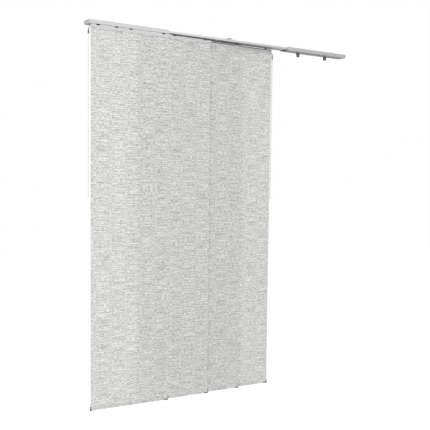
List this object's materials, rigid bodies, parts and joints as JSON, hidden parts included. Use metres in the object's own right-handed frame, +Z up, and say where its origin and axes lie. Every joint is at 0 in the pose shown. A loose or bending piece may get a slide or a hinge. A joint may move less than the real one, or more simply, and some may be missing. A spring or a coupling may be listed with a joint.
{
  "type": "panel track blind",
  "caption": "Sliding panel blind: wide woven cloth panels hang on runners in a telescoping multi-channel track with wall brackets, and are drawn by hanging wands.",
  "frame": {"origin": "on the wall, midway between the two screw slots of the first bracket from the left, level with the underside of the track", "axes": "+X along the track to the right as seen from the room, +Y into the wall, +Z up"},
  "size_m": [2.1912, 0.084, 2.4817],
  "materials": {
    "outer_aluminium": "satin anodised",
    "inner_aluminium": "bright satin anodised",
    "cap_plastic": "moulded, matt",
    "bracket_steel": "black powder coat",
    "clip_steel": "pressed, zinc plated",
    "fastener_steel": "zinc plated",
    "rail_aluminium": "satin anodised",
    "runner_plastic": "moulded nylon",
    "rail_cap_plastic": "moulded, matt",
    "hook_tape": "woven tape with hooks",
    "woven_cloth": "loose slub weave, semi-sheer",
    "bar_aluminium": "mill finish",
    "bottom_cap_plastic": "moulded, matt",
    "ring_steel": "darkened steel",
    "wand_plastic": "moulded, glossy"
  },
  "bodies": {
    "left_section": {"left_track": "outer_aluminium", "left_end_cap": "cap_plastic", "wall_bracket_1": "bracket_steel", "wall_bracket_2": "bracket_steel", "track_clip_1": "clip_steel", "track_clip_2": "clip_steel", "clip_screws_left": "fastener_steel"},
    "middle_section": {"inner_channel_1": "inner_aluminium", "inner_channel_2": "inner_aluminium", "inner_channel_3": "inner_aluminium", "inner_channel_4": "inner_aluminium", "channel_saddle": "inner_aluminium", "saddle_rivets": "fastener_steel", "bracket_spacer": "clip_steel", "wall_bracket_3": "bracket_steel", "clip_screw_middle": "fastener_steel"},
    "right_section": {"right_track": "outer_aluminium", "right_end_cap": "cap_plastic", "wall_bracket_4": "bracket_steel", "wall_bracket_5": "bracket_steel", "track_clip_4": "clip_steel", "track_clip_5": "clip_steel", "clip_screws_right": "fastener_steel"},
    "panel_1": {"top_rail_1": "rail_aluminium", "runners_1": "runner_plastic", "rail_caps_1": "rail_cap_plastic", "hook_tape_1": "hook_tape", "fabric_1": "woven_cloth", "bottom_bar_1": "bar_aluminium", "bottom_caps_1": "bottom_cap_plastic"},
    "panel_2": {"top_rail_2": "rail_aluminium", "runners_2": "runner_plastic", "rail_caps_2": "rail_cap_plastic", "hook_tape_2": "hook_tape", "fabric_2": "woven_cloth", "bottom_bar_2": "bar_aluminium", "bottom_caps_2": "bottom_cap_plastic"},
    "panel_3": {"top_rail_3": "rail_aluminium", "runners_3": "runner_plastic", "rail_caps_3": "rail_cap_plastic", "hook_tape_3": "hook_tape", "fabric_3": "woven_cloth", "bottom_bar_3": "bar_aluminium", "bottom_caps_3": "bottom_cap_plastic"},
    "panel_4": {"top_rail_4": "rail_aluminium", "runners_4": "runner_plastic", "rail_caps_4": "rail_cap_plastic", "hook_tape_4": "hook_tape", "fabric_4": "woven_cloth", "bottom_bar_4": "bar_aluminium", "bottom_caps_4": "bottom_cap_plastic"},
    "wand_link_left": {"wand_ring_left": "ring_steel"},
    "wand_left": {"wand_head_left": "wand_plastic", "wand_rod_left": "wand_plastic", "wand_tip_left": "wand_plastic"},
    "wand_link_right": {"wand_ring_right": "ring_steel"},
    "wand_right": {"wand_head_right": "wand_plastic", "wand_rod_right": "wand_plastic", "wand_tip_right": "wand_plastic"}
  },
  "joints": [
    {"name": "middle_slide", "type": "slide", "parent": "left_section", "child": "middle_section", "axis": [1, 0, 0], "range_m": [-0.475, 0]},
    {"name": "right_slide", "type": "slide", "parent": "middle_section", "child": "right_section", "axis": [1, 0, 0], "range_m": [-0.475, 0]},
    {"name": "panel_1_slide", "type": "slide", "parent": "left_section", "child": "panel_1", "axis": [1, 0, 0], "range_m": [0, 1.5794]},
    {"name": "panel_2_slide", "type": "slide", "parent": "left_section", "child": "panel_2", "axis": [1, 0, 0], "range_m": [-0.3442, 1.2352]},
    {"name": "panel_3_slide", "type": "slide", "parent": "left_section", "child": "panel_3", "axis": [1, 0, 0], "range_m": [-0.6302, 0.9492]},
    {"name": "panel_4_slide", "type": "slide", "parent": "left_section", "child": "panel_4", "axis": [1, 0, 0], "range_m": [-0.9092, 0.6702]},
    {"name": "wand_swing_left", "type": "hinge", "parent": "panel_1", "child": "wand_link_left", "pos_m": [-0.1452, -0.07355, -0.029], "axis": [0, 1, 0], "range_deg": [0, 60]},
    {"name": "wand_lift_left", "type": "hinge", "parent": "wand_link_left", "child": "wand_left", "pos_m": [-0.1452, -0.07355, -0.035], "axis": [1, 0, 0], "range_deg": [-75, 3]},
    {"name": "wand_swing_right", "type": "hinge", "parent": "panel_4", "child": "wand_link_right", "pos_m": [1.373, -0.01445, -0.029], "axis": [0, 1, 0], "range_deg": [-60, 0]},
    {"name": "wand_lift_right", "type": "hinge", "parent": "wand_link_right", "child": "wand_right", "pos_m": [1.373, -0.01445, -0.035], "axis": [1, 0, 0], "range_deg": [-75, 0]}
  ]
}
